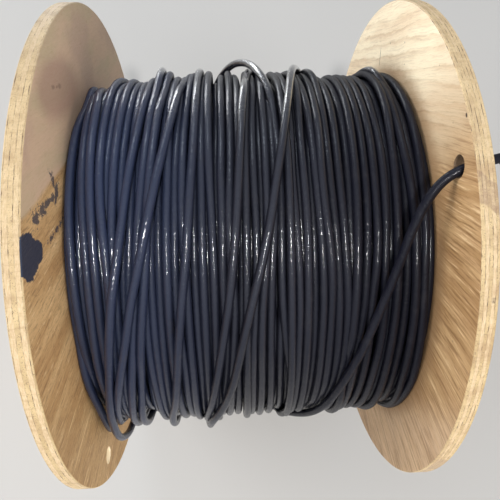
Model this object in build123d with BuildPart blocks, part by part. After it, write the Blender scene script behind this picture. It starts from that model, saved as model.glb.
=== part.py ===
from build123d import *
import os
from math import cos, sin, tan, radians

os.makedirs("parts", exist_ok=True)

# Frame: +X runs along the drum's axis, +Z is up and the drum lies on the rims of its two flanges.
# The origin is on the floor, under the middle of the drum. Lengths are in millimetres.

# Flanges, cut from plywood
flange_dia = 457.0
flange_thickness = 12.0
inside_width = 276.0
rim_chamfer = 0.6
arbor_dia = 41.3
cable_hole_dia = 16.0
cable_hole_from_rim = 22.5
left_cable_hole_angle = 180.0
right_cable_hole_angle = 89.0

# Barrel between the flanges, a paperboard tube seated in a groove of each flange
barrel_dia = 203.0
barrel_wall = 10.0
groove_depth = 4.0
groove_clearance = 0.25

# Tie rods inside the barrel, with a washer and a nut at each end
rod_dia = 8.0
rod_count = 4
rod_circle_dia = 140.0
first_rod_angle = 45.0
rod_hole_clearance = 0.5
rod_past_nut = 3.0
rod_end_chamfer = 0.8
washer_dia = 24.0
washer_thickness = 1.6
nut_across_flats = 13.0
nut_height = 6.5
nut_chamfer = 0.5
thread_clearance = 0.05

# Cable and its winding, which fills the drum from flange to flange
cable_dia = 6.8
winding_dia = 328.0
groove_between_turns = 2.2
winding_clearance = 0.2

axis_height = flange_dia / 2
inner_face = inside_width / 2
outer_face = inner_face + flange_thickness
rod_length = 2 * (outer_face + washer_thickness + nut_height + rod_past_nut)
drum_axis = Axis((0, 0, axis_height), (1, 0, 0))


def across_axis(x):
    """Sketch plane square to the drum's axis at x, its local x along +Y and its local y along +Z."""
    return Plane(origin=(x, 0, axis_height), x_dir=(0, 1, 0), z_dir=(1, 0, 0))


# Flanges: a disc with the arbor bore, the tie rods' holes, the barrel's groove and a cable hole
def flange(low_face, groove_floor, cable_hole_angle):
    with BuildPart() as disc:
        with BuildSketch(across_axis(low_face)):
            Circle(flange_dia / 2)
            Circle(arbor_dia / 2, mode=Mode.SUBTRACT)
            with PolarLocations(rod_circle_dia / 2, rod_count, start_angle=first_rod_angle):
                Circle(rod_dia / 2 + rod_hole_clearance, mode=Mode.SUBTRACT)
            with PolarLocations(flange_dia / 2 - cable_hole_from_rim, 1, start_angle=cable_hole_angle):
                Circle(cable_hole_dia / 2, mode=Mode.SUBTRACT)
        extrude(amount=flange_thickness)
        chamfer(disc.edges().filter_by(GeomType.CIRCLE).group_by(SortBy.RADIUS)[-1], rim_chamfer)
        with BuildSketch(across_axis(groove_floor)):
            Circle(barrel_dia / 2 + groove_clearance)
            Circle(barrel_dia / 2 - barrel_wall - groove_clearance, mode=Mode.SUBTRACT)
        extrude(amount=groove_depth, mode=Mode.SUBTRACT)
    return disc


left_flange = flange(-outer_face, -inner_face - groove_depth, left_cable_hole_angle)
left_flange.part.label = "left_flange"
export_step(left_flange.part, "parts/left_flange.step")

right_flange = flange(inner_face, inner_face, right_cable_hole_angle)
right_flange.part.label = "right_flange"
export_step(right_flange.part, "parts/right_flange.step")

# Barrel: it reaches from the floor of one groove to the floor of the other
with BuildPart() as barrel:
    with BuildSketch(across_axis(-inner_face - groove_depth)):
        Circle(barrel_dia / 2)
        Circle(barrel_dia / 2 - barrel_wall, mode=Mode.SUBTRACT)
    extrude(amount=inside_width + 2 * groove_depth)
barrel.part.label = "barrel"
export_step(barrel.part, "parts/barrel.step")

# Winding: one turned solid round the barrel, with a ridge for each turn of its outer layer
turns_across = int(inside_width // cable_dia)
pitch = inside_width / turns_across
crest_radius = winding_dia / 2
valley_radius = crest_radius - groove_between_turns
winding_bore_radius = barrel_dia / 2 + winding_clearance

outline = [(-inner_face, winding_bore_radius), (-inner_face, valley_radius)]
for turn in range(turns_across):
    turn_start = -inner_face + turn * pitch
    outline.append((turn_start + pitch / 2, crest_radius))
    outline.append((turn_start + pitch, valley_radius))
outline.append((inner_face, winding_bore_radius))

with BuildPart() as winding:
    with BuildSketch(Plane(origin=(0, 0, axis_height), x_dir=(1, 0, 0), z_dir=(0, -1, 0))):
        with BuildLine():
            Polyline(*outline, close=True)
        make_face()
    revolve(axis=drum_axis)
winding.part.label = "winding"
export_step(winding.part, "parts/winding.step")


# Tie rods, and the washer and nut that draw each end up against its flange
def rod_place(number):
    angle = radians(first_rod_angle + number * 360 / rod_count)
    return rod_circle_dia / 2 * cos(angle), axis_height + rod_circle_dia / 2 * sin(angle)


for number in range(rod_count):
    rod_y, rod_z = rod_place(number)
    with BuildPart() as tie_rod:
        with BuildSketch(Plane(origin=(-rod_length / 2, rod_y, rod_z), x_dir=(0, 1, 0), z_dir=(1, 0, 0))):
            Circle(rod_dia / 2)
        extrude(amount=rod_length)
        chamfer(tie_rod.edges().filter_by(GeomType.CIRCLE), rod_end_chamfer)
    tie_rod.part.label = f"tie_rod_{number + 1}"
    export_step(tie_rod.part, f"parts/tie_rod_{number + 1}.step")

    for side, outward in (("left", -1), ("right", 1)):
        washer_face = outward * outer_face
        nut_face = washer_face + outward * washer_thickness
        with BuildPart() as washer:
            with BuildSketch(Plane(origin=(washer_face, rod_y, rod_z), x_dir=(0, 1, 0), z_dir=(outward, 0, 0))):
                Circle(washer_dia / 2)
                Circle(rod_dia / 2 + thread_clearance, mode=Mode.SUBTRACT)
            extrude(amount=washer_thickness)
        washer.part.label = f"{side}_washer_{number + 1}"
        export_step(washer.part, f"parts/{side}_washer_{number + 1}.step")

        with BuildPart() as nut:
            with BuildSketch(Plane(origin=(nut_face, rod_y, rod_z), x_dir=(0, 1, 0), z_dir=(outward, 0, 0))):
                RegularPolygon(nut_across_flats / 2, 6, major_radius=False)
            extrude(amount=nut_height)
            outer_end = nut.faces().filter_by(Axis.X).sort_by(Axis.X)[-1 if outward > 0 else 0]
            chamfer(outer_end.edges(), nut_chamfer)
            with BuildSketch(Plane(origin=(nut_face, rod_y, rod_z), x_dir=(0, 1, 0), z_dir=(outward, 0, 0))):
                Circle(rod_dia / 2 + thread_clearance)
            extrude(amount=nut_height, mode=Mode.SUBTRACT)
        nut.part.label = f"{side}_nut_{number + 1}"
        export_step(nut.part, f"parts/{side}_nut_{number + 1}.step")

# Free end of the cable: it leaves the winding's front, climbs over it, passes the right flange's
# cable hole and droops past the flange
tail_route = [
    (14, -164, 181),
    (30, -172, 216),
    (50, -172, 254),
    (63, -160, 290),
    (73, -139, 325),
    (84, -113, 354),
    (96, -81, 380),
    (105, -55, 396),
    (111, -35, 408),
    (118, -18, 419),
    (128, -4, 428),
    (142, 3, 434),
    (160, 7, 437),
    (179, 11, 434),
    (196, 17, 423),
    (208, 24, 405),
    (214, 31, 381),
    (216, 37, 354),
]


def route_radii(points):
    """Radius for each corner of a route: as large as the two runs beside it allow."""
    radii = []
    for before, corner, after in zip(points, points[1:], points[2:]):
        run_in = Vector(corner) - Vector(before)
        run_out = Vector(after) - Vector(corner)
        half_turn = radians(run_in.get_angle(run_out)) / 2
        radii.append(0.45 * min(run_in.length, run_out.length) / tan(half_turn))
    return radii


tail_radii = route_radii(tail_route)
print("cable tail radii:", [round(radius, 1) for radius in tail_radii])

with BuildPart() as cable_tail:
    with BuildLine() as tail_path:
        FilletPolyline(*tail_route, radius=tail_radii)
    with BuildSketch(Plane(origin=tail_path.wire() @ 0, z_dir=tail_path.wire() % 0)):
        Circle(cable_dia / 2)
    sweep(path=tail_path.wire())
cable_tail.part.label = "cable_tail"
export_step(cable_tail.part, "parts/cable_tail.step")
print("cable tail length:", round(tail_path.wire().length, 1))
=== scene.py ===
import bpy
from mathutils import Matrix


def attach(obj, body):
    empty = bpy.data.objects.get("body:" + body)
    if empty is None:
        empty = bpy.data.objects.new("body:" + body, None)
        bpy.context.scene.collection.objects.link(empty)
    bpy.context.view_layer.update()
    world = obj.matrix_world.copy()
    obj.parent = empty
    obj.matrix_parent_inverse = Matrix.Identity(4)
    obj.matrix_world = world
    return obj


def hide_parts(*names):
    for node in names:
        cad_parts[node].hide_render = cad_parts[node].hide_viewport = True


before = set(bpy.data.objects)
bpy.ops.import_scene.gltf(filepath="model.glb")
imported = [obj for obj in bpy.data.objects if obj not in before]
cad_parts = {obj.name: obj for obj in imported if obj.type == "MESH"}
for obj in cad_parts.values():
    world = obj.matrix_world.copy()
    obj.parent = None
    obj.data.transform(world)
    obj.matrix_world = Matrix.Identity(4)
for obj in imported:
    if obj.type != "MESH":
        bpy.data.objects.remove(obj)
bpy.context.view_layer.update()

from math import radians

import bpy
import numpy as np
from mathutils import Matrix, Vector

# Sizes that part.py also has, in metres
AXIS_HEIGHT = 0.2285
INNER_FACE = 0.138
OUTER_FACE = 0.150
CABLE_DIA = 0.0068
CABLE_RADIUS = CABLE_DIA / 2

# Camera: the photograph's frame is 500 x 500 pixels
IMAGE_MIDDLE = 250.0
PIXELS_PER_UNIT = 497.0
SENSOR_WIDTH = 36.0
CAMERA_PLACE = Vector((-0.016667, -0.109216, 0.742320))
CAMERA_RIGHT = Vector((0.99861, -0.03738, 0.03703))
CAMERA_UP = Vector((0.02951, 0.98057, 0.19396))
CAMERA_AHEAD = Vector((0.04356, 0.19259, -0.98031))


def make_camera():
    data = bpy.data.cameras.new("camera")
    data.sensor_width = SENSOR_WIDTH
    data.lens = SENSOR_WIDTH * PIXELS_PER_UNIT / (2 * IMAGE_MIDDLE)
    data.clip_start = 0.01
    data.clip_end = 100.0
    camera = bpy.data.objects.new("camera", data)
    turn = Matrix((CAMERA_RIGHT, CAMERA_UP, -CAMERA_AHEAD)).transposed()
    camera.matrix_world = Matrix.Translation(CAMERA_PLACE) @ turn.to_4x4()
    bpy.context.scene.collection.objects.link(camera)
    bpy.context.scene.camera = camera


make_camera()


# Shader graphs
class Graph:
    """A material's node tree, with short calls for the nodes that the finishes use."""

    def __init__(self, name):
        self.material = bpy.data.materials.new(name)
        self.material.use_nodes = True
        self.tree = self.material.node_tree
        self.shader = self.tree.nodes["Principled BSDF"]
        self.place = self.add("ShaderNodeTexCoord").outputs["Object"]
        self.normal = self.add("ShaderNodeTexCoord").outputs["Normal"]

    def add(self, kind, inputs=None, **settings):
        node = self.tree.nodes.new(kind)
        for name, value in settings.items():
            setattr(node, name, value)
        for name, value in (inputs or {}).items():
            self.feed(node.inputs[name], value)
        return node

    def feed(self, socket, value):
        if isinstance(value, bpy.types.NodeSocket):
            self.tree.links.new(value, socket)
        else:
            socket.default_value = value

    def math(self, operation, first, second=0.0, third=0.0):
        node = self.tree.nodes.new("ShaderNodeMath")
        node.operation = operation
        for index, value in enumerate((first, second, third)):
            self.feed(node.inputs[index], value)
        return node.outputs[0]

    def times(self, first, second):
        return self.math("MULTIPLY", first, second)

    def affine(self, value, factor, plus):
        """value * factor + plus"""
        return self.math("MULTIPLY_ADD", value, factor, plus)

    def sway(self, value, noise, reach):
        """value moved by a noise, by up to half of reach either way."""
        return self.affine(self.math("SUBTRACT", noise, 0.5), reach, value)

    def length(self, first, second):
        """Length of a line with these two sides."""
        return self.math("SQRT", self.affine(first, first, self.times(second, second)))

    def split(self, vector):
        node = self.add("ShaderNodeSeparateXYZ", {"Vector": vector})
        return node.outputs[0], node.outputs[1], node.outputs[2]

    def join(self, x, y, z):
        return self.add("ShaderNodeCombineXYZ", {"X": x, "Y": y, "Z": z}).outputs[0]

    def noise(self, vector, scale, detail, roughness=0.5):
        inputs = {"Vector": vector, "Scale": scale, "Detail": detail, "Roughness": roughness}
        return self.add("ShaderNodeTexNoise", inputs).outputs["Fac"]

    def spots(self, vector, scale):
        inputs = {"Vector": vector, "Scale": scale}
        return self.add("ShaderNodeTexVoronoi", inputs).outputs["Distance"]

    def span(self, value, low, high, out_low=0.0, out_high=1.0):
        """value from low to high becomes out_low to out_high, smoothly and within them."""
        inputs = {"Value": value, "From Min": low, "From Max": high}
        inputs.update({"To Min": out_low, "To Max": out_high})
        node = self.add("ShaderNodeMapRange", inputs, interpolation_type="SMOOTHSTEP")
        return node.outputs["Result"]

    def mix(self, share, first, second):
        node = self.add("ShaderNodeMix", data_type="RGBA")
        self.feed(node.inputs["Factor"], share)
        self.feed(node.inputs[6], first)
        self.feed(node.inputs[7], second)
        return node.outputs[2]

    def ramp(self, value, stops):
        node = self.add("ShaderNodeValToRGB", {"Fac": value})
        points = node.color_ramp.elements
        while len(points) < len(stops):
            points.new(0.5)
        for point, (position, colour) in zip(points, stops):
            point.position = position
            point.color = (*colour, 1.0)
        return node.outputs["Color"]

    def bump(self, height, strength, distance):
        inputs = {"Height": height, "Strength": strength, "Distance": distance}
        return self.add("ShaderNodeBump", inputs).outputs["Normal"]

    def set(self, **values):
        for name, value in values.items():
            self.feed(self.shader.inputs[name.replace("_", " ")], value)
        return self.material


def colour(red, green, blue):
    return (red, green, blue, 1.0)


# Cable jacket: matt black, paler on top with dust and painted sheen, and with painted bluish glare towards
# the left flange, under a thin sheen that breaks up on its fine ripples
def jacket_material():
    graph = Graph("cable_jacket")
    x, y, z = graph.split(graph.place)
    ripple = graph.noise(graph.place, 540.0, 2.0, 0.7)
    dents = graph.noise(graph.place, 230.0, 2.0, 0.5)
    scuff = graph.noise(graph.place, 60.0, 4.0, 0.65)
    lengthwise = graph.join(x, graph.times(y, 0.03), graph.times(z, 0.03))
    patch = graph.noise(lengthwise, 300.0, 2.0)
    shade = graph.ramp(patch, [(0.32, (0.0048, 0.0052, 0.0105)), (0.68, (0.0106, 0.0108, 0.0168))])
    # Painted bluish glare: stronger towards the left flange and towards the back
    painted_blue_glare = graph.times(graph.span(x, 0.000, -0.110), graph.span(y, -0.11, 0.03, 0.52, 1.0))
    shade = graph.mix(painted_blue_glare, shade, colour(0.026, 0.036, 0.080))
    # Upward-facing sides paler: partly dust, partly painted sheen of the light from above, less of both
    # towards the right flange
    facing_up = graph.span(graph.split(graph.normal)[2], 0.45, 1.0, 0.0, 0.62)
    dust_and_sheen = graph.times(facing_up, graph.span(x, 0.105, 0.000, 0.10, 1.0))
    dust_and_sheen_tone = graph.mix(painted_blue_glare, colour(0.030, 0.033, 0.048), colour(0.038, 0.052, 0.100))
    shade = graph.mix(dust_and_sheen, shade, dust_and_sheen_tone)
    # Scuffed dusty patches at random over the painted glare and sheen
    jacket_tone = graph.mix(graph.span(scuff, 0.56, 0.78, 0.0, 0.4), shade, colour(0.034, 0.032, 0.036))
    # Loops that stand off the winding behind are cleaner, and shine
    above = graph.math("SUBTRACT", z, AXIS_HEIGHT)
    radius = graph.length(y, above)
    clean = graph.times(graph.span(radius, 0.1700, 0.1735), graph.span(y, 0.04, 0.09))
    sheen = graph.times(graph.span(x, 0.120, 0.000, 0.18, 0.58), graph.span(y, 0.14, 0.08, 0.5, 1.0))
    height = graph.affine(dents, 0.7, ripple)
    ripples = graph.bump(height, 0.60, 0.0009)
    glints = graph.bump(height, graph.affine(clean, -0.22, 0.35), 0.0009)
    return graph.set(
        Base_Color=jacket_tone,
        Roughness=graph.affine(clean, -0.36, 0.50),
        Specular_IOR_Level=graph.affine(clean, 0.52, 0.08),
        Coat_Weight=graph.math("MAXIMUM", sheen, clean),
        Coat_Roughness=graph.span(scuff, 0.35, 0.72, 0.07, 0.12),
        Coat_Normal=glints,
        Normal=ripples,
    )


JACKET = jacket_material()


# Free end of the cable: it climbs over the winding, passes the right flange and droops beyond it
TAIL_ROUTE = [
    (0.014, -0.164, 0.181), (0.030, -0.173, 0.216), (0.050, -0.173, 0.254),
    (0.063, -0.163, 0.291), (0.073, -0.141, 0.327), (0.084, -0.115, 0.356),
    (0.096, -0.081, 0.380), (0.105, -0.055, 0.396), (0.111, -0.035, 0.408),
    (0.118, -0.018, 0.419), (0.128, -0.004, 0.428), (0.142, 0.003, 0.434),
    (0.160, 0.007, 0.437), (0.179, 0.011, 0.434), (0.196, 0.017, 0.423),
    (0.208, 0.024, 0.405), (0.214, 0.031, 0.381), (0.216, 0.037, 0.354),
]


def make_tail():
    curve = bpy.data.curves.new("cable_free_end", "CURVE")
    curve.dimensions = "3D"
    spline = curve.splines.new("NURBS")
    spline.points.add(len(TAIL_ROUTE) - 1)
    for point, place in zip(spline.points, TAIL_ROUTE):
        point.co = (*place, 1.0)
    spline.order_u = 3
    spline.use_endpoint_u = True
    spline.resolution_u = 8
    curve.bevel_depth = CABLE_RADIUS
    curve.bevel_resolution = 4
    curve.use_fill_caps = True
    curve.materials.append(JACKET)
    tail = bpy.data.objects.new("cable_free_end", curve)
    bpy.context.scene.collection.objects.link(tail)
    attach(tail, "root")
    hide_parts("cable_tail")


make_tail()


# Winding. A turn's line is its place along the axis and its radius at each angle round the axis.
# The angle runs from +Y over the top: 90 degrees is up and 180 degrees is towards the viewer.
DEGREES = np.arange(360.0)
LAYER_RADIUS = 0.1606
DEEP_DROP = 0.0030
UNDER_DROP = 0.0062
UNDER_COUNT = 40
LAST_TURN_X = 0.1346
BODY_RADIUS = 0.1500
BODY_BORE_RADIUS = 0.1017
BODY_END = 0.1375
# Least distances between the lines of two turns that touch, and of a turn and the free end
LAY_GAP = 0.0062
STRAY_GAP = 0.0065
TAIL_GAP = 0.0071
# Angles between which the free end crosses the turns
CROSSED_FROM = 85.0
CROSSED_TO = 192.0
# How high a turn may stack on the ones beneath, beside the left flange and everywhere else
PLACES_OF_STACK = (-0.1346, -0.118)
STACK_LIMITS = (0.0010, 0.0045)
# Random waves: of a turn's radius, of the turns beneath and of turns where nothing shows them
FLOOR_WAVES = 0.004
UNDER_SWAY = 0.02
DEEP_WANDER = 0.0025
TURN_WANDER = 0.0035
STRAY_WANDER = 0.004
# Degrees over which they and the turns' lines and radii are smoothed
FLOOR_BLUR = 14
UNDER_BLUR = 20
LINE_BLUR = 4.0
REST_BLUR = 3.5
TURN_BLUR = 3
STRAY_BLUR = 2.5
DIP_BLUR = 2.0
# Degrees kept free between a loop's own points and the ones read off the photograph
BEFORE_ROWS = 6
AFTER_ROWS = 4
LAST_SEEN_ANGLE = 178.0
# Angles between which a stray turn lies on the others, for one that does so only on the far side
FAR_SIDE_ONLY = (400, 401)
chance = np.random.default_rng(11)

# How much higher the outer layer lies, and how loose it hangs in front, from flange to flange
PLACES_ACROSS = (-0.1346, -0.118, -0.090, -0.079, -0.066, -0.048, 0.000, 0.040, 0.070, 0.095, 0.1346)
LAYER_RISE = (-0.0058, 0.0000, 0.0014, 0.0018, 0.0022, 0.0026, 0.0030, 0.0024, 0.0024, 0.0020, 0.0008)
FRONT_SLACK = (0.0025, 0.0025, 0.0060, 0.0120, 0.0064, 0.0075, 0.0044, 0.0056, 0.0058, 0.0054, 0.0036)


def steps(value, low, high):
    """0 below low, 1 above high and a smooth rise between them."""
    share = np.clip((value - low) / (high - low), 0.0, 1.0)
    return share * share * (3 - 2 * share)


def layer(x, angle):
    """Radius of the outer layer's cable line: it hangs a little loose in front and underneath."""
    loose = steps(angle, 136.0, 176.0) * (1 - steps(angle, 250.0, 340.0))
    behind = np.maximum(1 - steps(angle, 45.0, 80.0), steps(angle, 280.0, 350.0))
    sunk = behind * np.interp(x, (-LAST_TURN_X, -0.119), (0.0060, 0.0))
    rise = np.interp(x, PLACES_ACROSS, LAYER_RISE) - sunk
    return LAYER_RADIUS + rise + loose * np.interp(x, PLACES_ACROSS, FRONT_SLACK)


def blur(values, spread):
    """Values round the drum, smoothed over some degrees."""
    reach = int(4 * spread)
    offsets = np.arange(-reach, reach + 1)
    weights = np.exp(-0.5 * (offsets / spread) ** 2)
    weights /= weights.sum()
    wrapped = np.concatenate([values[-reach:], values, values[:reach]])
    return np.convolve(wrapped, weights, mode="valid")


def seen_at(column, row, lift):
    """Angle and place along the axis where the camera's ray through a pixel meets the winding."""
    ray = CAMERA_AHEAD + CAMERA_RIGHT * ((column - IMAGE_MIDDLE) / PIXELS_PER_UNIT)
    ray -= CAMERA_UP * ((row - IMAGE_MIDDLE) / PIXELS_PER_UNIT)
    start = CAMERA_PLACE - Vector((0.0, 0.0, AXIS_HEIGHT))
    radius = LAYER_RADIUS + lift
    for _ in range(8):
        square = ray.y ** 2 + ray.z ** 2
        half = start.y * ray.y + start.z * ray.z
        rest = max(0.0, half ** 2 - square * (start.y ** 2 + start.z ** 2 - radius ** 2))
        place = start + ray * ((-half - rest ** 0.5) / square)
        angle = np.degrees(np.arctan2(place.z, place.y)) % 360.0
        radius = float(layer(place.x, angle)) + lift
    return angle, place.x


# Columns where each turn crosses these rows of the photograph, read off it
ROWS = (90, 110, 140, 180, 220, 260, 300, 340, 375, 400)
DEEP_TURNS = [
    (112, 101, 97, 95, 98, 101, 106, 109, 116, 122),
    (121.5, 115.6, 110.2, 105.8, 107, 110, 113.5, 118, 122, 127),
    (136, 129.7, 124.9, 120.9, 121.5, 123.2, 124.5, 126, 128, 131),
    (143, 138, 134, 131.5, 130.5, 129, 129, 130, 131, 136),
    (151, 149, 147, 146, 145, 145, 145.5, 147.8, 153.3, 159.5),
    (160, 158, 155.5, 153.5, 151, 150.5, 152.4, 155.5, 160.5, 165),
    (170, 167, 163, 158.5, 158.3, 158.8, 160.8, 163.2, 167.2, 171),
    (195, 197, 196, 193.5, 193.5, 194.4, 196.5, 199, 202.2, 203.8),
    (257, 257.5, 258.8, 261, 261.5, 260.5, 257, 256, 256.5, 257),
    (279, 281, 283, 285, 285, 285, 283, 280, 280, 279.5),
    (290, 293, 295, 298, 300.5, 303, 304, 303, 300, 296),
    (303, 306, 308, 310, 313, 314.5, 315.2, 314, 311, 305.5),
    (331.3, 338.6, 344, 348, 350, 351.5, 352, 351, 345, 335),
    (369, 376, 383, 387.5, 389, 391, 390, 385.5, 377, 366),
    (379, 387.5, 396, 403.4, 406.3, 407.3, 405.4, 399.9, 392, 381),
    (402, 414, 421.5, 427.5, 430, 429.8, 427.5, 423, 415, 402.5),
]
TURNS = [
    (94, 83.5, 75.2, 69.8, 69, 71.5, 76, 82.6, 92, 101),
    (97.5, 91.1, 85, 82.3, 83, 86.4, 90.1, 95.5, 103, 114),
    (104.5, 98.4, 92.9, 90.6, 92.1, 95.5, 99.1, 103.5, 110, 120),
    (113.8, 106.7, 102.1, 99.7, 102, 108.1, 111.5, 114.5, 119, 126),
    (128.5, 122.5, 117, 113.5, 112.1, 113.5, 117, 121, 125, 129),
    (174.8, 171, 168.5, 167.6, 166.6, 167.3, 169, 171, 175.5, 180.5),
    (181.5, 179.5, 176.8, 174.7, 174.9, 174.9, 176, 181, 186, 189.5),
    (190, 186.7, 183.7, 182.2, 182.5, 184.8, 187.3, 190.1, 193.8, 196.5),
    (202.3, 202, 201.2, 201, 201.5, 202.7, 204.4, 206.3, 208.8, 210.5),
    (207.7, 207.8, 208.4, 209.4, 211.9, 213.6, 215.2, 216.5, 217.5, 218.5),
    (220.2, 220.7, 221.2, 221, 222.7, 222.9, 224, 228.3, 226.8, 224.3),
    (228.8, 229.4, 230.1, 230.2, 229, 231, 235.3, 234.8, 232, 231),
    (236.8, 237.3, 238, 240, 241.9, 242.8, 242.6, 240.5, 238.5, 239),
    (246, 245, 244, 245, 246, 246.4, 247, 247, 246.9, 247.5),
    (253, 251.5, 251.8, 253.2, 256.1, 257, 256, 253.5, 252.5, 253),
    (260, 261.3, 264.1, 265.9, 268, 266, 262, 261, 261.7, 260.8),
    (266.1, 268.5, 271.7, 274.3, 275, 272, 271, 270.3, 270.8, 270.1),
    (277.8, 281.5, 285.5, 288.2, 289.5, 290.7, 291.3, 291.5, 291, 288),
    (284, 288, 290.5, 291.5, 295.7, 298.4, 299.7, 298.5, 296.5, 293),
    (295, 297.5, 299.1, 303.6, 307, 307.7, 308.1, 306.9, 304.3, 299.8),
    (300, 305.9, 310.6, 315.3, 319.8, 323.1, 323.8, 321.8, 318.3, 311.5),
    (309.4, 314.2, 317.7, 320.5, 325.5, 331.3, 332.1, 329.7, 326, 318),
    (324, 330.8, 334.9, 339, 343.3, 346, 348.1, 346.2, 340, 331),
    (340, 347.3, 351.6, 355.5, 357.4, 357, 354.7, 350, 343.5, 337.5),
    (347.5, 355, 360.8, 365.1, 367.8, 366.4, 364.7, 358, 351.5, 344),
    (354.5, 363, 369.7, 374.1, 376.9, 377.3, 371.7, 369, 362.5, 353),
    (363.5, 370.4, 378.1, 383.3, 385.3, 384.7, 385, 380.8, 371.5, 361.5),
    (376, 383.7, 390.1, 394.7, 396.8, 397.5, 395.8, 390, 382.5, 370.5),
    (381.5, 390.3, 398.9, 408, 415.3, 415.7, 414.6, 409.9, 401.8, 389.5),
    (395.5, 406.5, 414.5, 420.5, 425, 424.4, 422.6, 418.9, 411, 398.5),
]

# Turns that stray across the others or stand off as loose loops, from the first laid to the last:
# columns at the rows, how far above the layer they run, the angles between which they lie on the
# others rather than between them, and points of their loops as angle, place along the axis and
# radius, both in millimetres
STRAYS = [
    ((95, 84, 72, 66.5, 65, 66.8, 71.5, 79, 90, 98.5), -0.003, FAR_SIDE_ONLY,
     [(158, -130.6, 168), (166, -129.0, 177), (174, -130.5, 181.5), (182, -134, 177), (190, -134, 171),
      (200, -133, 166)]),
    ((317, 321.8, 326, 330, 334.7, 338.5, 340.2, 338.3, 334.5, 325), 0.001, FAR_SIDE_ONLY,
     [(12, 57.5, 161), (20, 59.7, 165), (27, 60.8, 168.5), (32, 61.9, 169), (38, 63.2, 167.5),
      (44, 63.6, 165.5)]),
    ((388, 398, 406, 413.5, 419, 420.5, 419, 414.5, 406, 396), -0.002, FAR_SIDE_ONLY,
     [(12, 113, 158), (20, 114.3, 162.5), (26, 115.2, 165.4), (31, 116.6, 166.8), (36, 118.4, 166.6),
      (43, 120.8, 165.6), (50, 122.6, 164)]),
    ((155.5, 151.2, 146.7, 141.9, 138.3, 135.2, 134.8, 132.8, 132, 132.8), 0.004, (62, 270),
     [(14, -77, 162), (22, -75, 168), (29, -73.2, 172.5), (36, -72.2, 171.5), (43, -72.6, 168.5),
      (164, -105, 171), (172, -106, 175.5), (179, -107, 175), (187, -108, 170)]),
    ((165, 159.7, 155.2, 150.4, 147, 146, 143.5, 141.2, 141, 142.2), 0.002, (62, 270),
     [(22, -68, 165), (29, -66.3, 168.5), (36, -65.8, 168), (43, -65.8, 166), (164, -97.8, 171.5),
      (172, -97.8, 176), (179, -98.3, 175.5), (187, -99, 170)]),
    ((196.7, 195.4, 193.3, 190.5, 188.4, 186.1, 181.8, 179, 177.4, 176.3), 0.005, (-90, 270),
     [(165, -71.5, 174), (172, -71.5, 178), (179, -72, 177), (187, -73, 171)]),
    ((179, 174.6, 166, 156.7, 148.6, 140.6, 131, 126, 120.5, 118.2), 0.006, (56, 270),
     [(8, -43, 161), (20, -45.5, 164), (31, -47.5, 166.5)]),
    ((244.5, 242.1, 240.7, 238.6, 236.6, 233.4, 229.5, 223.4, 217.5, 212.5), 0.005, (56, 270),
     [(20, 11, 166), (27, 9.5, 170), (34, 7, 170.5), (43, 3, 168.5), (166, -40, 171), (173, -40.5, 172.5),
      (182, -42, 171)]),
    ((146.8, 140.9, 134.2, 126.5, 121.3, 117.6, 112.3, 110.5, 110.2, 112.3), 0.006, (58, 270),
     [(153, -118.4, 171), (160, -120.2, 176), (168, -121.7, 184), (176, -121.9, 189.5), (184, -120.3, 188),
      (190, -121.0, 183), (197, -121, 176), (205, -120, 170)]),
    ((272, 272.8, 277, 280.5, 281.5, 281.8, 282.7, 286.2, 291.5, 294.4), 0.001, FAR_SIDE_ONLY,
     [(-14, -38, 160), (-2, -33, 160), (8, -27, 163), (15, -21.2, 168), (22, -14.6, 173.5), (27, -8, 177),
      (30, -2.4, 179), (33, 3.4, 178.5), (38, 9, 176), (45, 14.5, 174), (50, 18.5, 171.5), (56, 21.5, 168),
      (160, 34, 168), (166, 33.5, 171), (171, 31, 173), (177, 28, 173), (184, 26.5, 170), (192, 25, 166)]),
    ((288.8, 286.9, 282.8, 276.3, 270.7, 262.5, 252.3, 242.5, 234.3, 225.5), 0.006, (-90, 270),
     [(14, 62, 164), (22, 58, 167.5), (28, 53, 171), (34, 49, 172), (42, 44, 170), (164, -36.5, 172),
      (171, -37.5, 174), (178, -39, 173), (187, -42, 170)]),
]


def turn_line(columns, lift, wander, free=()):
    """A turn's place along the axis at each degree: read off the photograph in front, at random behind."""
    knots = [seen_at(column, row, lift) for column, row in zip(columns, ROWS)]
    knots.sort()
    placed = [(angle, x / 1000) for angle, x, _ in free]
    over_top = [angle for angle, _ in placed if angle < 60]
    under = [angle for angle, _ in placed if angle > 140]
    if over_top:
        knots = [knot for knot in knots if knot[0] > max(over_top) + BEFORE_ROWS]
    if under:
        knots = [knot for knot in knots if knot[0] < min(under) - AFTER_ROWS]
    else:
        slope = (knots[-1][1] - knots[-3][1]) / (knots[-1][0] - knots[-3][0])
        beyond = LAST_SEEN_ANGLE - knots[-1][0]
        knots.append((LAST_SEEN_ANGLE, knots[-1][1] + 0.7 * slope * beyond))
    knots = sorted(knots + placed)
    (top, top_x), (bottom, bottom_x) = knots[0], knots[-1]
    for share in (0.28, 0.5, 0.72):
        ease = share * share * (3 - 2 * share)
        x = bottom_x + (top_x - bottom_x) * ease + chance.normal(0.0, wander)
        knots.append((bottom + (top + 360.0 - bottom) * share, x))
    angles, places = zip(*knots)
    line = np.interp(DEGREES, angles, places, period=360.0)
    return np.clip(blur(line, LINE_BLUR), -LAST_TURN_X, LAST_TURN_X)


def rest_on(line, floor, laid, gap):
    """Radius of a turn that lies on those already laid, as low as they let it."""
    radius = floor.copy()
    for other_line, other_radius in laid:
        apart = np.minimum(np.abs(line - other_line), gap)
        over = other_radius + np.sqrt(gap ** 2 - apart ** 2)
        radius = np.where(apart < gap, np.maximum(radius, over), radius)
    highest = np.max([np.roll(radius, shift) for shift in range(-2, 3)], axis=0)
    return blur(highest, REST_BLUR)


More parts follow.
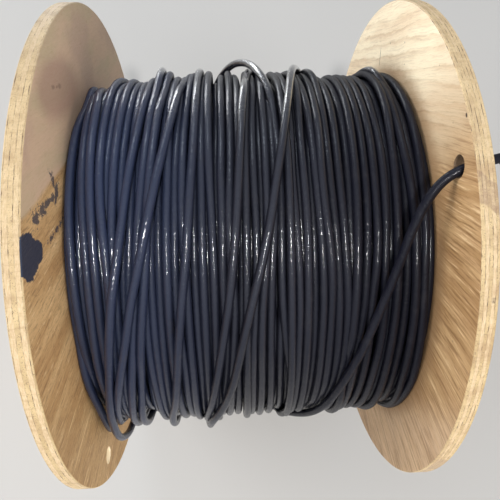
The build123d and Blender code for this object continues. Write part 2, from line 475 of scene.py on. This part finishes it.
def loop_radius(free):
    """Radius that a stray turn's own loops ask for, and less than any turn's between them."""
    angles = []
    radii = []
    for low, high in ((-60, 60), (140, 260)):
        group = [(angle, radius / 1000) for angle, _, radius in free if low <= angle <= high]
        if group:
            group = [(group[0][0] - 30, BODY_RADIUS)] + group + [(group[-1][0] + 30, BODY_RADIUS)]
            angles += [angle for angle, _ in group]
            radii += [radius for _, radius in group]
    return blur(np.interp(DEGREES, angles, radii, period=360.0), STRAY_BLUR)


def press_down(laid):
    """The same turns, lower where the free end of the cable crosses them."""
    route = np.array(TAIL_ROUTE)
    middles = (route[1:] + route[:-1]) / 2
    bends = (middles[1:] + middles[:-1] + 2 * route[1:-1]) / 4
    path = np.concatenate([middles, bends])
    angles = np.degrees(np.arctan2(path[:, 2] - AXIS_HEIGHT, path[:, 1])) % 360.0
    order = np.argsort(angles)
    tail_x = np.interp(DEGREES, angles[order], path[order, 0])
    tail_radius = np.interp(DEGREES, angles[order], np.hypot(path[:, 1], path[:, 2] - AXIS_HEIGHT)[order])
    crossed = (DEGREES > CROSSED_FROM) & (DEGREES < CROSSED_TO)
    pressed = []
    for line, radius in laid:
        apart = np.minimum(np.abs(line - tail_x), TAIL_GAP)
        highest = tail_radius - np.sqrt(TAIL_GAP ** 2 - apart ** 2)
        dip = np.where(crossed & (apart < TAIL_GAP), np.maximum(radius - highest, 0.0), 0.0)
        widened = np.max([np.roll(dip, shift) for shift in range(-4, 5)], axis=0)
        pressed.append((line, radius - blur(widened, DIP_BLUR)))
    return pressed


def lay_turns():
    """Lines and radii of the outer layer's turns, from the deepest to the ones on top."""
    deep = []
    for columns in DEEP_TURNS:
        line = turn_line(columns, -DEEP_DROP, DEEP_WANDER)
        deep.append((line, layer(line, DEGREES) - DEEP_DROP))
    ordinary = []
    for place in list(range(0, len(TURNS), 2)) + list(range(1, len(TURNS), 2)):
        line = turn_line(TURNS[place], 0.0, TURN_WANDER)
        floor = layer(line, DEGREES) + blur(FLOOR_WAVES * chance.normal(size=360), FLOOR_BLUR)
        stack = np.interp(line, PLACES_OF_STACK, STACK_LIMITS)
        radius = np.minimum(rest_on(line, floor, deep + ordinary, LAY_GAP), floor + stack)
        ordinary.append((line, blur(radius, TURN_BLUR)))
    strays = []
    for columns, lift, (rest_from, rest_to), free in STRAYS:
        line = turn_line(columns, lift, STRAY_WANDER, free)
        floor = np.maximum(layer(line, DEGREES) + min(lift, 0.0), loop_radius(free))
        rested = rest_on(line, floor, deep + ordinary + strays, STRAY_GAP)
        angle = (DEGREES - rest_from) % 360.0
        share = 1 - steps(angle, rest_to - rest_from - 10.0, rest_to - rest_from + 10.0)
        share = np.maximum(share, steps(angle, 345.0, 360.0))
        strays.append((line, blur(floor + (rested - floor) * np.clip(share, 0, 1), STRAY_BLUR)))
    return press_down(deep), press_down(ordinary), press_down(strays)


def winding_piece(name, vertices, faces, smooth):
    """A piece of the winding, as the scene shows it."""
    mesh = bpy.data.meshes.new(name)
    mesh.from_pydata(vertices, [], faces)
    mesh.polygons.foreach_set("use_smooth", [smooth] * len(mesh.polygons))
    mesh.materials.append(JACKET)
    piece = bpy.data.objects.new(name, mesh)
    bpy.context.scene.collection.objects.link(piece)
    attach(piece, "root")
    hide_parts("winding")


def tube_mesh(name, lines, samples, sides):
    """One mesh of closed tubes round the drum."""
    vertices = []
    faces = []
    pick = np.linspace(0.0, 360.0, samples, endpoint=False)
    turn = np.radians(pick)
    outward = np.stack([np.zeros(samples), np.cos(turn), np.sin(turn)], axis=1)
    for line, radius in lines:
        x = np.interp(pick, DEGREES, line, period=360.0)
        far = np.interp(pick, DEGREES, radius, period=360.0)
        centre = outward * far[:, None]
        centre[:, 0] = x
        centre[:, 2] += AXIS_HEIGHT
        along = np.roll(centre, -1, axis=0) - np.roll(centre, 1, axis=0)
        along /= np.linalg.norm(along, axis=1, keepdims=True)
        up = outward - along * np.sum(outward * along, axis=1, keepdims=True)
        up /= np.linalg.norm(up, axis=1, keepdims=True)
        side = np.cross(along, up)
        base = len(vertices)
        ring_angles = np.arange(sides) * 2 * np.pi / sides
        for number in range(samples):
            for ring_angle in ring_angles:
                offset = up[number] * np.cos(ring_angle) + side[number] * np.sin(ring_angle)
                vertices.append(tuple(centre[number] + offset * CABLE_RADIUS))
        for number in range(samples):
            here = base + number * sides
            there = base + (number + 1) % samples * sides
            for corner in range(sides):
                after = (corner + 1) % sides
                faces.append((here + corner, here + after, there + after, there + corner))
    winding_piece(name, vertices, faces, True)


def lathe_mesh(name, outline, segments):
    """A solid of revolution round the drum's axis from (x, radius) points."""
    vertices = []
    faces = []
    for number in range(segments):
        turn = 2 * np.pi * number / segments
        for x, radius in outline:
            vertices.append((x, radius * np.cos(turn), AXIS_HEIGHT + radius * np.sin(turn)))
    count = len(outline)
    for number in range(segments):
        here = number * count
        there = (number + 1) % segments * count
        for corner in range(count):
            after = (corner + 1) % count
            faces.append((here + corner, there + corner, there + after, here + after))
    winding_piece(name, vertices, faces, False)


def make_winding():
    deep, ordinary, strays = lay_turns()
    under = []
    for number in range(UNDER_COUNT):
        x = -LAST_TURN_X + 2 * LAST_TURN_X * number / (UNDER_COUNT - 1)
        sway = blur(UNDER_SWAY * chance.normal(size=360), UNDER_BLUR)
        line = np.clip(x + sway, -LAST_TURN_X, LAST_TURN_X)
        under.append((line, layer(line, DEGREES) - UNDER_DROP))
    body = [
        (-BODY_END, BODY_BORE_RADIUS), (-BODY_END, BODY_RADIUS),
        (BODY_END, BODY_RADIUS), (BODY_END, BODY_BORE_RADIUS),
    ]
    tube_mesh("winding_under_turns", under, samples=90, sides=6)
    tube_mesh("winding_deep_turns", deep, samples=132, sides=10)
    tube_mesh("winding_turns", ordinary, samples=132, sides=10)
    tube_mesh("winding_stray_turns", strays, samples=180, sides=12)
    lathe_mesh("winding_body", body, segments=96)


make_winding()


# Plywood: face grain on the two faces, plies on the rim and in the holes
# Inside this radius a cut edge is a hole's, outside it the rim's
HOLES_WITHIN = 0.220
RIM_MIDDLE = (INNER_FACE + OUTER_FACE) / 2
LEFT_PLY = 0.0033
RIGHT_PLY = 0.0024
STAIN_NAVY = colour(0.028, 0.038, 0.070)
RIM_CREAM = colour(0.72, 0.565, 0.365)
RIM_TAN = colour(0.56, 0.395, 0.215)


def blot(graph, across, along, centre, half_sizes, angle, ragged, raggedness, soft):
    """1 inside an ellipse at (across, along) = centre and 0 outside it, with a ragged or soft edge."""
    cosine, sine = float(np.cos(radians(angle))), float(np.sin(radians(angle)))
    side = graph.math("SUBTRACT", across, centre[0])
    rise = graph.math("SUBTRACT", along, centre[1])
    long = graph.affine(side, cosine / half_sizes[0], graph.times(rise, sine / half_sizes[0]))
    wide = graph.affine(side, -sine / half_sizes[1], graph.times(rise, cosine / half_sizes[1]))
    far = graph.sway(graph.length(long, wide), ragged, raggedness)
    return graph.span(far, 1.0 + soft, 1.0 - soft)


def rim_look(graph, x, y, z, grain_angle, middle_x, ply, greyed, painted_hole_light):
    """Colour and height of the plies where they are cut: end grain or long grain, with glue lines, and hole
    walls painted with their light and shade.
    """
    around = graph.join(0.0, y, z)
    wave = graph.noise(around, 11.0, 2.0)
    depth = graph.math("SUBTRACT", x, middle_x)
    depth = graph.sway(depth, wave, 0.0014)
    turn = graph.affine(depth, float(np.pi / ply), float(np.pi * 2.5))
    odd = graph.span(graph.math("SINE", turn), -0.12, 0.12)
    radius = graph.length(y, z)
    cosine, sine = float(np.cos(radians(grain_angle))), float(np.sin(radians(grain_angle)))
    facing = graph.affine(y, cosine, graph.times(z, sine))
    facing = graph.math("DIVIDE", facing, radius)
    facing = graph.times(facing, facing)
    cross = graph.math("SUBTRACT", 1.0, facing)
    end_grain = graph.affine(graph.math("SUBTRACT", facing, cross), odd, cross)
    from_glue = graph.math("PINGPONG", graph.math("ADD", depth, ply / 2), ply / 2)
    broken = graph.noise(graph.join(graph.times(x, 5.0), y, z), 120.0, 4.0, 0.75)
    glue = graph.span(from_glue, 0.00042, 0.00006)
    glue = graph.times(glue, graph.span(broken, 0.42, 0.60))
    gap = graph.times(graph.span(from_glue, 0.00034, 0.00006), graph.span(broken, 0.56, 0.64))
    pores = graph.noise(graph.place, 1100.0, 1.0, 0.5)
    fibres = graph.noise(graph.join(graph.times(x, 8.0), y, z), 240.0, 4.0, 0.7)
    mottle = graph.noise(graph.place, 55.0, 4.0, 0.65)
    long_grain = graph.mix(graph.span(fibres, 0.36, 0.70), RIM_CREAM, RIM_TAN)
    cut_end = graph.mix(graph.span(mottle, 0.35, 0.66), colour(0.66, 0.50, 0.27), colour(0.48, 0.34, 0.17))
    pore = graph.span(pores, 0.60, 0.68)
    cut_end = graph.mix(graph.times(pore, 0.75), cut_end, colour(0.17, 0.105, 0.055))
    tone = graph.mix(graph.times(end_grain, 0.85), long_grain, cut_end)
    tone = graph.mix(graph.span(mottle, 0.50, 0.72, 0.0, 0.60), tone, colour(0.45, 0.30, 0.17))
    saw = graph.noise(graph.join(graph.times(x, 0.12), y, z), 420.0, 2.0, 0.6)
    tone = graph.mix(graph.span(saw, 0.52, 0.72, 0.0, 0.45), tone, colour(0.46, 0.315, 0.17))
    back = graph.span(y, 0.02, 0.17, 0.0, greyed)
    grey = graph.mix(graph.span(mottle, 0.35, 0.65), colour(0.50, 0.39, 0.27), colour(0.36, 0.27, 0.185))
    tone = graph.mix(back, tone, grey)
    tone = graph.mix(graph.times(glue, 0.75), tone, colour(0.24, 0.155, 0.085))
    tone = graph.mix(gap, tone, colour(0.045, 0.032, 0.024))
    # Hole walls take the colour given: painted light for the left flange, painted shade for the right
    in_hole = graph.span(radius, HOLES_WITHIN + 0.002, HOLES_WITHIN - 0.002)
    tone = graph.mix(graph.times(in_hole, 0.85), tone, painted_hole_light)
    height = graph.affine(fibres, 1.3, graph.times(end_grain, graph.times(pore, -0.8)))
    height = graph.affine(saw, -0.8, height)
    height = graph.math("SUBTRACT", height, graph.times(gap, 1.5))
    return tone, height, radius


def finish_plywood(graph, tone, face_height, rim_tone, rim_height, roughness):
    facing = graph.math("ABSOLUTE", graph.split(graph.normal)[0])
    on_face = graph.math("GREATER_THAN", facing, 0.85)
    height = graph.affine(graph.math("SUBTRACT", face_height, rim_height), on_face, rim_height)
    return graph.set(
        Base_Color=graph.mix(on_face, rim_tone, tone),
        Roughness=roughness,
        Specular_IOR_Level=0.3,
        Normal=graph.bump(height, 0.45, 0.0007),
    )


def grain_planes(graph, along, across, x, shortness=1.0):
    """Streaks along the grain at three widths, each a noise stretched along it."""
    depth = graph.times(x, 2.0)
    broad = graph.noise(graph.join(depth, graph.times(along, 0.10), across), 75.0, 3.0, 0.55)
    streak_along = graph.times(along, 0.040 * shortness)
    streak = graph.noise(graph.join(depth, streak_along, across), 460.0, 5.0, 0.70)
    fine_along = graph.times(along, 0.08 * shortness)
    fine = graph.noise(graph.join(depth, fine_along, across), 1100.0, 3.0, 0.7)
    return broad, streak, fine


def left_plywood():
    grain_angle = 131.0
    graph = Graph("left_plywood")
    x, y, height_above = graph.split(graph.place)
    z = graph.math("SUBTRACT", height_above, AXIS_HEIGHT)
    inner = graph.span(x, -0.147, -0.141)
    cosine, sine = float(np.cos(radians(grain_angle))), float(np.sin(radians(grain_angle)))
    along = graph.affine(y, cosine, graph.times(z, sine))
    across = graph.affine(y, sine, graph.times(z, -cosine))
    # The grain runs round the knot
    knot_y = graph.times(graph.math("SUBTRACT", y, 0.083), 1 / 0.034)
    knot_z = graph.times(graph.math("SUBTRACT", z, 0.176), 1 / 0.034)
    knot_far = graph.affine(knot_y, knot_y, graph.times(knot_z, knot_z))
    swirl = graph.times(graph.math("EXPONENT", graph.times(knot_far, -0.7)), inner)
    across = graph.affine(swirl, 0.008, across)
    warp = graph.noise(graph.join(x, graph.times(along, 0.35), across), 20.0, 3.0, 0.5)
    across = graph.sway(across, warp, 0.008)
    broad, streak, fine = grain_planes(graph, along, across, x, 2.4)
    ragged = graph.noise(graph.place, 230.0, 5.0, 0.8)
    cloud = graph.noise(graph.place, 13.0, 3.0, 0.5)
    drift = graph.noise(graph.join(x, graph.times(along, 0.30), across), 26.0, 3.0, 0.55)
    # Smooth, mauve and khaki towards the back, orange-tan and streaked in front of the colour edge
    upper = graph.mix(graph.span(drift, 0.40, 0.58), colour(0.68, 0.480, 0.330), colour(0.60, 0.460, 0.295))
    upper = graph.mix(graph.span(cloud, 0.52, 0.66, 0.0, 0.7), upper, colour(0.56, 0.380, 0.285))
    lower = graph.mix(graph.span(broad, 0.36, 0.66), colour(0.74, 0.480, 0.235), colour(0.53, 0.305, 0.132))
    low_share = graph.times(graph.span(y, -0.11, -0.19, 0.0, 0.55), inner)
    lower = graph.mix(low_share, lower, colour(0.50, 0.310, 0.135))
    lower = graph.mix(graph.affine(inner, -0.6, 0.6), lower, colour(0.40, 0.255, 0.125))
    edge = graph.sway(across, warp, 0.006)
    back = graph.times(graph.span(edge, 0.1225, 0.1275), inner)
    tone = graph.mix(back, lower, upper)
    strength = graph.affine(back, -0.85, 1.0)
    dark = graph.times(graph.span(streak, 0.51, 0.66, 0.0, 0.66), strength)
    tone = graph.mix(dark, tone, colour(0.25, 0.130, 0.054))
    pale_share = graph.affine(inner, 0.45, 0.30)
    pale = graph.times(graph.span(streak, 0.43, 0.31), graph.times(pale_share, strength))
    tone = graph.mix(pale, tone, colour(0.96, 0.74, 0.45))
    fibre = graph.times(graph.span(fine, 0.52, 0.72, 0.0, 0.60), strength)
    tone = graph.mix(fibre, tone, colour(0.25, 0.14, 0.065))
    # Pale lines along the grain: middle and half length
    for centre, half_length in (
        ((-0.1768, 0.0880), 0.030),
        ((-0.1590, 0.1168), 0.012),
        ((-0.2080, 0.0760), 0.010),
    ):
        line = blot(graph, y, z, centre, (half_length, 0.0006), 133.5, ragged, 0.9, 0.35)
        tone = graph.mix(graph.times(line, graph.times(inner, 0.75)), tone, colour(0.90, 0.66, 0.36))
    # Knot: a purple-brown patch with a few small dark pits
    knot = blot(graph, y, z, (0.088, 0.168), (0.048, 0.020), 124.0, cloud, 1.3, 0.32)
    tone = graph.mix(graph.times(knot, graph.times(inner, 0.68)), tone, colour(0.42, 0.255, 0.195))
    for centre, size in (((0.078, 0.184), 0.0020), ((0.086, 0.171), 0.0024), ((0.082, 0.177), 0.0012)):
        pit = blot(graph, y, z, centre, (size * 1.5, size * 0.7), 124.0, ragged, 4.0, 0.5)
        tone = graph.mix(graph.times(pit, graph.times(inner, 0.5)), tone, colour(0.16, 0.09, 0.07))
    # Dark blue-black stain at the rim, and the broken marks that run on from it
    stain = blot(graph, y, z, (-0.0505, 0.2130), (0.0148, 0.0165), 0.0, ragged, 0.75, 0.03)
    lower_end = blot(graph, y, z, (-0.0445, 0.1990), (0.0075, 0.0105), 10.0, ragged, 1.2, 0.04)
    stain = graph.math("MAXIMUM", stain, lower_end)
    for centre, half_sizes, angle, raggedness in (
        ((-0.0235, 0.2030), (0.0060, 0.0042), 120.0, 7.5),
        ((-0.0150, 0.1935), (0.0065, 0.0042), 115.0, 5.6),
        ((-0.0080, 0.1845), (0.0070, 0.0022), 128.0, 5.4),
        ((-0.0015, 0.1755), (0.0060, 0.0026), 125.0, 5.4),
        ((0.0045, 0.1690), (0.0085, 0.0034), 172.0, 3.8),
        ((0.0105, 0.1765), (0.0060, 0.0030), 60.0, 9.0),
        ((-0.0240, 0.1680), (0.0120, 0.0016), 130.0, 10.5),
    ):
        mark = blot(graph, y, z, centre, half_sizes, angle, ragged, raggedness, 0.10)
        stain = graph.math("MAXIMUM", stain, graph.times(mark, 0.88))
    tone = graph.mix(graph.times(graph.times(stain, inner), 0.96), tone, STAIN_NAVY)
    specks = graph.times(graph.span(ragged, 0.72, 0.78), graph.times(inner, strength))
    tone = graph.mix(graph.times(specks, 0.45), tone, colour(0.14, 0.085, 0.06))
    height = graph.affine(streak, 0.8, graph.times(fine, 0.6))
    height = graph.times(height, graph.affine(back, -0.6, 1.0))
    # Hole walls painted pale cream: painted light
    rim_tone, rim_height, _ = rim_look(
        graph, x, y, z, grain_angle, middle_x=-RIM_MIDDLE, ply=LEFT_PLY, greyed=0.55,
        painted_hole_light=colour(1.0, 0.86, 0.62))
    # The stain runs over the inner edge of the rim
    over_edge = graph.times(stain, graph.span(x, -0.1392, -0.1386))
    rim_tone = graph.mix(over_edge, rim_tone, STAIN_NAVY)
    roughness = graph.span(fine, 0.3, 0.7, 0.55, 0.72)
    return finish_plywood(graph, tone, height, rim_tone, rim_height, roughness)


def right_plywood():
    grain_angle = 120.0
    graph = Graph("right_plywood")
    x, y, height_above = graph.split(graph.place)
    z = graph.math("SUBTRACT", height_above, AXIS_HEIGHT)
    inner = graph.span(x, 0.147, 0.141)
    cosine, sine = float(np.cos(radians(grain_angle))), float(np.sin(radians(grain_angle)))
    along = graph.affine(y, cosine, graph.times(z, sine))
    # Lines of equal level are the grain's lines: straight at the back, and bent over in front
    front = graph.math("MINIMUM", y, 0.0)
    level = graph.affine(y, 1.75, z)
    level = graph.affine(graph.times(front, front), 2.3, level)
    warp = graph.noise(graph.join(x, graph.times(along, 0.6), graph.times(level, 0.5)), 20.0, 3.0, 0.5)
    bend = graph.times(graph.math("SUBTRACT", warp, 0.5), graph.span(y, -0.05, 0.04, 0.007, 0.020))
    level = graph.math("ADD", level, bend)
    broad, streak, fine = grain_planes(graph, along, graph.times(level, 0.55), x)
    cloud = graph.noise(graph.place, 11.0, 3.0, 0.5)
    # Year rings: soft brown bands with wavy edges, unevenly strong
    wobble = graph.noise(graph.join(x, along, graph.times(level, 0.5)), 70.0, 3.0, 0.55)
    banded = graph.sway(level, wobble, 0.014)
    spacing = graph.noise(graph.join(0.0, graph.times(along, 0.2), level), 20.0, 2.0, 0.5)
    banded = graph.sway(banded, spacing, 0.045)
    phase = graph.math("FRACT", graph.times(banded, 1 / 0.0230))
    late = graph.times(graph.span(phase, 0.25, 0.80), graph.span(phase, 1.0, 0.82))
    uneven = graph.noise(graph.join(x, graph.times(along, 0.5), graph.times(level, 0.5)), 30.0, 2.0, 0.5)
    late = graph.times(late, graph.span(uneven, 0.36, 0.58, 0.35, 1.0))
    # Cream at the back, tan towards the front, paler again at the very front; the fall from back to front
    # is partly the wood's own colour and partly painted light, as the back of the face is lit most
    back = graph.sway(y, cloud, 0.05)
    back = graph.affine(graph.math("SUBTRACT", graph.span(back, -0.018, 0.045), 0.45), inner, 0.45)
    lowest = graph.times(graph.span(y, -0.145, -0.185), inner)
    soft = graph.noise(graph.join(x, graph.times(along, 0.25), graph.times(level, 0.5)), 34.0, 3.0, 0.5)
    cream = graph.mix(graph.span(soft, 0.40, 0.62), colour(1.0, 0.865, 0.625), colour(0.90, 0.725, 0.505))
    cream = graph.mix(graph.span(y, 0.11, 0.02, 0.0, 1.0), cream, colour(0.62, 0.465, 0.295))
    tan = graph.mix(graph.span(broad, 0.38, 0.64), colour(0.53, 0.334, 0.162), colour(0.385, 0.222, 0.097))
    tan = graph.mix(graph.times(lowest, 0.66), tan, colour(0.72, 0.515, 0.335))
    tone = graph.mix(back, tan, cream)
    ring_share = graph.affine(back, 0.04, 0.28)
    tone = graph.mix(graph.times(late, ring_share), tone, colour(0.53, 0.325, 0.170))
    strength = graph.affine(back, -0.78, 1.0)
    strength = graph.times(strength, graph.affine(lowest, -0.35, 1.0))
    dark = graph.times(graph.span(streak, 0.50, 0.61, 0.0, 0.80), strength)
    tone = graph.mix(dark, tone, colour(0.235, 0.125, 0.052))
    pale = graph.times(graph.span(streak, 0.45, 0.34, 0.0, 0.66), strength)
    tone = graph.mix(pale, tone, colour(0.82, 0.60, 0.35))
    fibre = graph.times(graph.span(fine, 0.52, 0.72, 0.0, 0.48), graph.affine(back, -0.6, 1.0))
    tone = graph.mix(fibre, tone, colour(0.30, 0.175, 0.080))
    # Pin dots, a dark slit, a nail spot and a darker ring beside the winding: dirt with painted contact
    # shadow
    ragged = graph.noise(graph.place, 160.0, 4.0, 0.75)
    dots = graph.spots(graph.place, 75.0)
    dot = graph.times(graph.span(dots, 0.085, 0.05), graph.span(ragged, 0.50, 0.58))
    tone = graph.mix(graph.times(dot, 0.6), tone, colour(0.13, 0.075, 0.045))
    slit = blot(graph, y, z, (0.1655, 0.0757), (0.0095, 0.0005), 37.0, ragged, 0.8, 0.4)
    nail = blot(graph, y, z, (0.0315, 0.2240), (0.0016, 0.0011), 0.0, ragged, 0.6, 0.3)
    mark = graph.times(graph.math("MAXIMUM", slit, nail), inner)
    tone = graph.mix(mark, tone, colour(0.06, 0.038, 0.028))
    # Hole walls painted dark brown: painted shade
    rim_tone, rim_height, radius = rim_look(
        graph, x, y, z, grain_angle, middle_x=RIM_MIDDLE, ply=RIGHT_PLY, greyed=0.15,
        painted_hole_light=colour(0.17, 0.105, 0.065))
    # Darker ring beside the winding: partly dirt, partly painted contact shadow
    dirt_and_shade_ring = graph.sway(radius, ragged, 0.006)
    dirt_and_shade_ring = graph.times(graph.span(dirt_and_shade_ring, 0.186, 0.167, 0.0, 0.75), inner)
    tone = graph.mix(dirt_and_shade_ring, tone, colour(0.30, 0.175, 0.085))
    # Stained places and a spot on the rim: (angle, x) of the middle, half sizes, lean, strength, colour
    angle = graph.times(graph.math("ARCTAN2", z, y), float(180 / np.pi))
    blotchy = graph.noise(graph.place, 120.0, 4.0, 0.75)
    for (middle, middle_x), (half, half_x), lean, share, tint in (
        ((95.4, 0.1436), (2.6, 0.0075), -0.20, 0.62, colour(0.30, 0.190, 0.125)),
        ((158.5, 0.1466), (7.5, 0.0066), -0.10, 0.60, colour(0.36, 0.255, 0.180)),
        ((112.2, 0.1467), (0.5, 0.0012), 0.0, 0.85, colour(0.10, 0.060, 0.035)),
    ):
        shift = graph.affine(x, 1000 * lean, -middle - 1000 * lean * middle_x)
        away = graph.math("ABSOLUTE", graph.math("DIVIDE", graph.math("ADD", angle, shift), half))
        away_x = graph.math("ABSOLUTE", graph.affine(x, 1 / half_x, -middle_x / half_x))
        away = graph.math("MAXIMUM", away, away_x)
        away = graph.sway(away, blotchy, 0.7)
        place = graph.times(graph.span(away, 1.05, 0.90), graph.span(blotchy, 0.62, 0.46, 0.45, 1.0))
        rim_tone = graph.mix(graph.times(place, share), rim_tone, tint)
    height = graph.affine(streak, 0.7, graph.times(fine, 0.6))
    height = graph.affine(late, -0.5, height)
    roughness = graph.span(fine, 0.3, 0.7, 0.55, 0.72)
    return finish_plywood(graph, tone, height, rim_tone, rim_height, roughness)


LEFT_PLYWOOD = left_plywood()
RIGHT_PLYWOOD = right_plywood()


def steel_material():
    graph = Graph("zinc_steel")
    spangle = graph.noise(graph.place, 260.0, 3.0, 0.6)
    brush = graph.noise(graph.place, 1800.0, 2.0, 0.5)
    return graph.set(
        Base_Color=graph.ramp(spangle, [(0.3, (0.46, 0.47, 0.48)), (0.7, (0.66, 0.67, 0.68))]),
        Metallic=1.0,
        Roughness=graph.span(spangle, 0.3, 0.7, 0.26, 0.46),
        Normal=graph.bump(brush, 0.15, 0.0002),
    )


def board_material():
    graph = Graph("paperboard")
    x, y, z = graph.split(graph.place)
    angle = graph.math("ARCTAN2", graph.math("SUBTRACT", z, AXIS_HEIGHT), y)
    spiral = graph.math("SINE", graph.affine(x, 120.0, angle))
    fibre = graph.noise(graph.join(graph.times(x, 0.3), y, z), 420.0, 4.0, 0.6)
    tone = graph.ramp(fibre, [(0.3, (0.30, 0.205, 0.125)), (0.7, (0.47, 0.345, 0.225))])
    return graph.set(
        Base_Color=graph.mix(graph.span(spiral, 0.985, 1.0, 0.0, 0.6), tone, colour(0.17, 0.11, 0.065)),
        Roughness=0.85,
        Normal=graph.bump(fibre, 0.25, 0.0004),
    )


STEEL = steel_material()
BOARD = board_material()


def finish_node(name, material):
    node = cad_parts[name]
    node.data.materials.clear()
    node.data.materials.append(material)


finish_node("left_flange", LEFT_PLYWOOD)
finish_node("right_flange", RIGHT_PLYWOOD)
finish_node("barrel", BOARD)
for node_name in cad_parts:
    if "nut" in node_name or "washer" in node_name or "tie_rod" in node_name:
        finish_node(node_name, STEEL)


# Floor, light and surroundings
FLOOR_SIZE = 12.0
DRUM_MIDDLE = Vector((0.0, 0.0, AXIS_HEIGHT))

# Lamps: name, place, size, watts, colour, whether it shows on rough surfaces and whether in gloss
LAMPS = [
    ("overhead_lamp", (-0.03, -0.50, 2.0), (0.12, 0.12), 14.5, (1.0, 0.98, 0.96), True, True),
    ("back_lamp", (-0.5, 2.2, 1.9), (0.8, 0.5), 14.0, (0.80, 0.90, 1.0), True, True),
    ("glint_lamp", (-0.02, -0.38, 1.7), (0.08, 0.08), 16.0, (1.0, 1.0, 1.0), False, True),
    ("low_lamp", (-0.38, 0.95, 0.14), (0.5, 0.10), 3.2, (0.94, 0.97, 1.0), False, True),
    ("side_lamp", (-2.5, 0.7, 1.15), (2.6, 1.9), 72.0, (0.98, 0.99, 1.0), True, False),
    ("front_right_lamp", (1.7, -2.1, 1.0), (2.0, 1.6), 46.0, (1.0, 0.97, 0.93), True, False),
    ("front_left_lamp", (-1.5, -2.2, 0.9), (2.0, 1.4), 20.0, (1.0, 0.97, 0.93), True, False),
]


def make_floor():
    bpy.ops.mesh.primitive_plane_add(size=FLOOR_SIZE, location=(0.0, 0.0, 0.0))
    floor = bpy.context.object
    floor.name = "floor"
    graph = Graph("floor")
    graph.set(Base_Color=colour(0.50, 0.49, 0.475), Roughness=0.9, Specular_IOR_Level=0.2)
    floor.data.materials.append(graph.material)


def make_lamp(name, place, size, watts, tint, on_diffuse, in_gloss):
    data = bpy.data.lights.new(name, "AREA")
    data.shape = "RECTANGLE"
    data.size, data.size_y = size
    data.energy = watts
    data.color = tint
    lamp = bpy.data.objects.new(name, data)
    lamp.location = place
    lamp.visible_camera = False
    lamp.visible_diffuse = on_diffuse
    lamp.visible_glossy = in_gloss
    aim = DRUM_MIDDLE - Vector(place)
    lamp.rotation_euler = aim.to_track_quat("-Z", "Y").to_euler()
    bpy.context.scene.collection.objects.link(lamp)


def make_world():
    world = bpy.data.worlds.new("surroundings")
    world.use_nodes = True
    background = world.node_tree.nodes["Background"]
    background.inputs["Color"].default_value = (0.93, 0.96, 1.0, 1.0)
    background.inputs["Strength"].default_value = 0.50
    bpy.context.scene.world = world


make_floor()
make_world()
for lamp_row in LAMPS:
    make_lamp(*lamp_row)

bpy.context.scene.view_settings.view_transform = "Standard"
